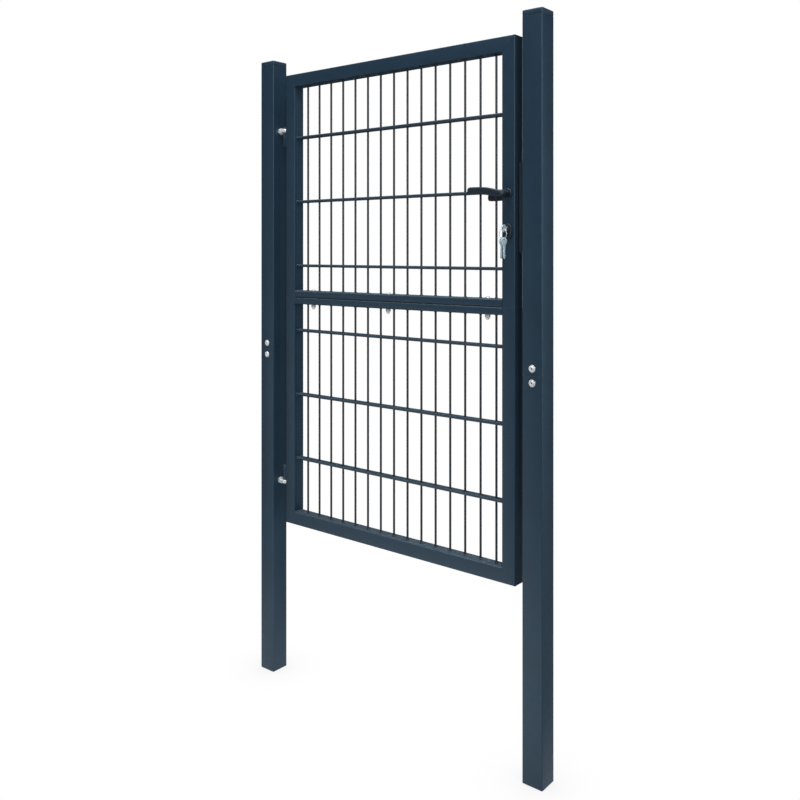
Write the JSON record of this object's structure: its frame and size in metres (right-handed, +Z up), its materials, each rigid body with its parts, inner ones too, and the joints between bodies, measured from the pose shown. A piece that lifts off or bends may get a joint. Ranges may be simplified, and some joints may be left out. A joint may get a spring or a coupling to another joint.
{
  "type": "garden gate",
  "caption": "Single-leaf garden gate with square tube posts, a bolted two-part mesh leaf, eye-bolt hinges, lever handles and a key-operated lock.",
  "frame": {"origin": "midway between the two posts, at the level of their square-cut feet", "axes": "+X from the hinge post to the lock post, +Y the way the leaf opens, +Z up the posts"},
  "size_m": [1.076, 0.112, 2],
  "materials": {
    "anthracite_paint": "anthracite blue-grey powder coat, satin",
    "wire_paint": "dark powder coat on wire, satin",
    "zinc_plate": "bright zinc plate",
    "black_plastic": "black, slightly satin",
    "steel": "plain steel",
    "nickel": "nickel plate",
    "brass": "machined brass"
  },
  "bodies": {
    "posts": {"left_post_lower": "anthracite_paint", "left_post_upper": "anthracite_paint", "left_post_sleeve": "steel", "left_post_cap": "anthracite_paint", "left_post_screw_lower": "zinc_plate", "left_post_screw_upper": "zinc_plate", "right_post_lower": "anthracite_paint", "right_post_upper": "anthracite_paint", "right_post_sleeve": "steel", "right_post_cap": "anthracite_paint", "right_post_screw_lower": "zinc_plate", "right_post_screw_upper": "zinc_plate", "upper_eye_bolt": "zinc_plate", "upper_eye_bolt_inner_nut": "zinc_plate", "upper_eye_bolt_outer_nut": "zinc_plate", "lower_eye_bolt": "zinc_plate", "lower_eye_bolt_inner_nut": "zinc_plate", "lower_eye_bolt_outer_nut": "zinc_plate", "keep": "anthracite_paint", "keep_screw_upper": "zinc_plate", "keep_screw_lower": "zinc_plate"},
    "leaf": {"top_rail": "anthracite_paint", "bottom_rail": "anthracite_paint", "hinge_stile_upper": "anthracite_paint", "hinge_stile_lower": "anthracite_paint", "lock_stile_upper": "anthracite_paint", "lock_stile_lower": "anthracite_paint", "mid_rail_upper": "anthracite_paint", "mid_rail_lower": "anthracite_paint", "upper_mesh_panel": "wire_paint", "lower_mesh_panel": "wire_paint", "joint_bolt_left": "zinc_plate", "joint_bolt_middle": "zinc_plate", "joint_bolt_right": "zinc_plate", "cap_nut_left": "zinc_plate", "cap_nut_middle": "zinc_plate", "cap_nut_right": "zinc_plate", "upper_hinge_pin": "anthracite_paint", "lower_hinge_pin": "anthracite_paint", "lock_case": "steel", "lock_forend": "zinc_plate", "forend_screw_upper": "zinc_plate", "forend_screw_lower": "zinc_plate", "front_lever_rose": "black_plastic", "rear_lever_rose": "black_plastic", "front_cylinder_rose": "black_plastic", "rear_cylinder_rose": "black_plastic", "cylinder_body": "nickel", "latch_spring": "steel"},
    "levers": {"front_lever": "black_plastic", "rear_lever": "black_plastic", "lever_spindle": "steel", "follower": "steel"},
    "latch": {"latch_bolt": "nickel"},
    "bolt": {"deadbolt": "nickel"},
    "turned_key": {"cylinder_plug": "brass", "key": "nickel"},
    "hanging_keys": {"key_ring": "nickel", "spare_key_one": "nickel", "spare_key_two": "nickel"}
  },
  "joints": [
    {"name": "leaf_swing", "type": "hinge", "parent": "posts", "child": "leaf", "pos_m": [-0.445, 0, 1.2278], "axis": [0, 0, 1], "range_deg": [0, 95]},
    {"name": "lever_press", "type": "hinge", "parent": "leaf", "child": "levers", "pos_m": [0.4213, 0, 1.528], "axis": [0, -1, 0], "range_deg": [0, 35], "stiffness_Nm_per_rad": 1.2, "springref_deg": -20.05},
    {"name": "latch_slide", "type": "slide", "parent": "leaf", "child": "latch", "axis": [-1, 0, 0], "range_m": [0, 0.0109], "deforming": ["latch_spring"]},
    {"name": "key_turn", "type": "hinge", "parent": "leaf", "child": "turned_key", "pos_m": [0.4213, 0, 1.436], "axis": [0, 1, 0], "range_deg": [0, 360]},
    {"name": "deadbolt_slide", "type": "slide", "parent": "leaf", "child": "bolt", "axis": [1, 0, 0], "range_m": [0, 0.018]},
    {"name": "key_ring_swing", "type": "hinge", "parent": "turned_key", "child": "hanging_keys", "pos_m": [0.4213, -0.0445, 1.4343], "axis": [-0.9781, 0.2079, 0], "range_deg": [-10, 60]}
  ],
  "couplings": [
    {"joint": "latch_slide", "follows": "lever_press", "m_per_rad": 0.01772},
    {"joint": "deadbolt_slide", "follows": "key_turn", "m_per_rad": 0.00286}
  ]
}
